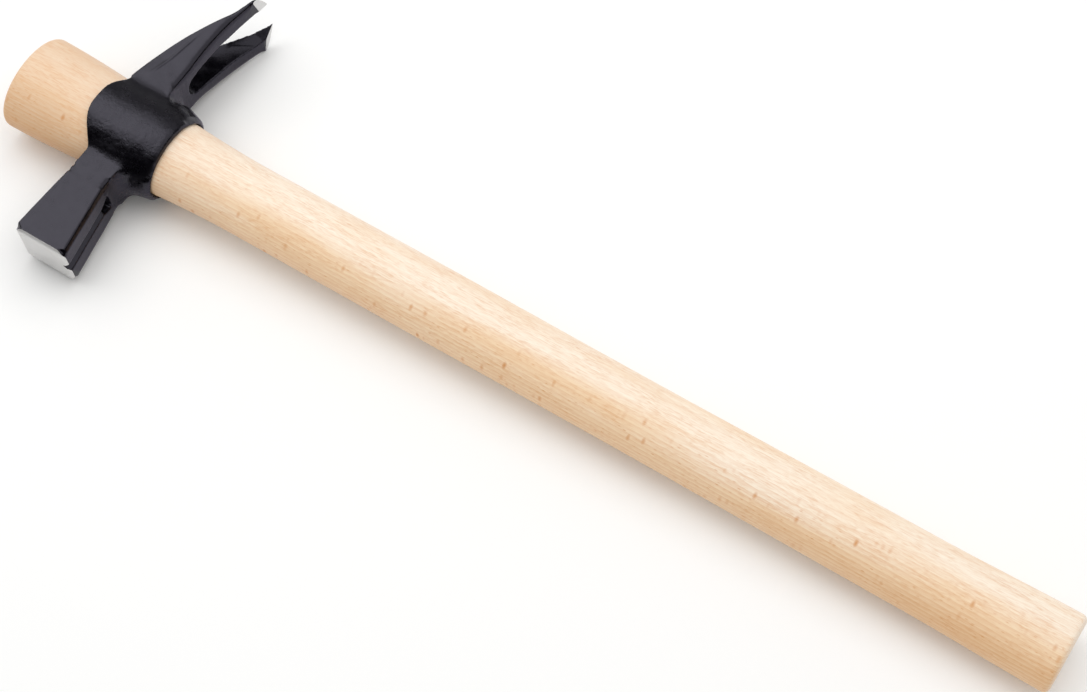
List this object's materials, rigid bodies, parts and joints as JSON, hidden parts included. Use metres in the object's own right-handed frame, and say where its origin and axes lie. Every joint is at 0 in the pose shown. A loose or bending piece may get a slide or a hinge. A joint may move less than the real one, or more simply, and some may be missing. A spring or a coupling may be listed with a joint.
{
  "type": "claw hammer",
  "caption": "Carpenter's claw hammer: black forged head with a split claw, ground square face and nail-holder groove, on an oval beech handle flared at the eye.",
  "frame": {"origin": "centre of the flat end of the handle's butt", "axes": "+X along the handle from the butt to the top, +Y towards the striking face, +Z out of one cheek, as the hammer lies on its side"},
  "size_m": [0.42, 0.1238, 0.0326],
  "materials": {
    "beech": "turned and sanded, thin clear oil",
    "forged_black": "black lacquer over forged steel, semi-gloss, with a bare ground face and tips"
  },
  "bodies": {
    "root": {"handle": "beech", "head": "forged_black"}
  },
  "joints": []
}
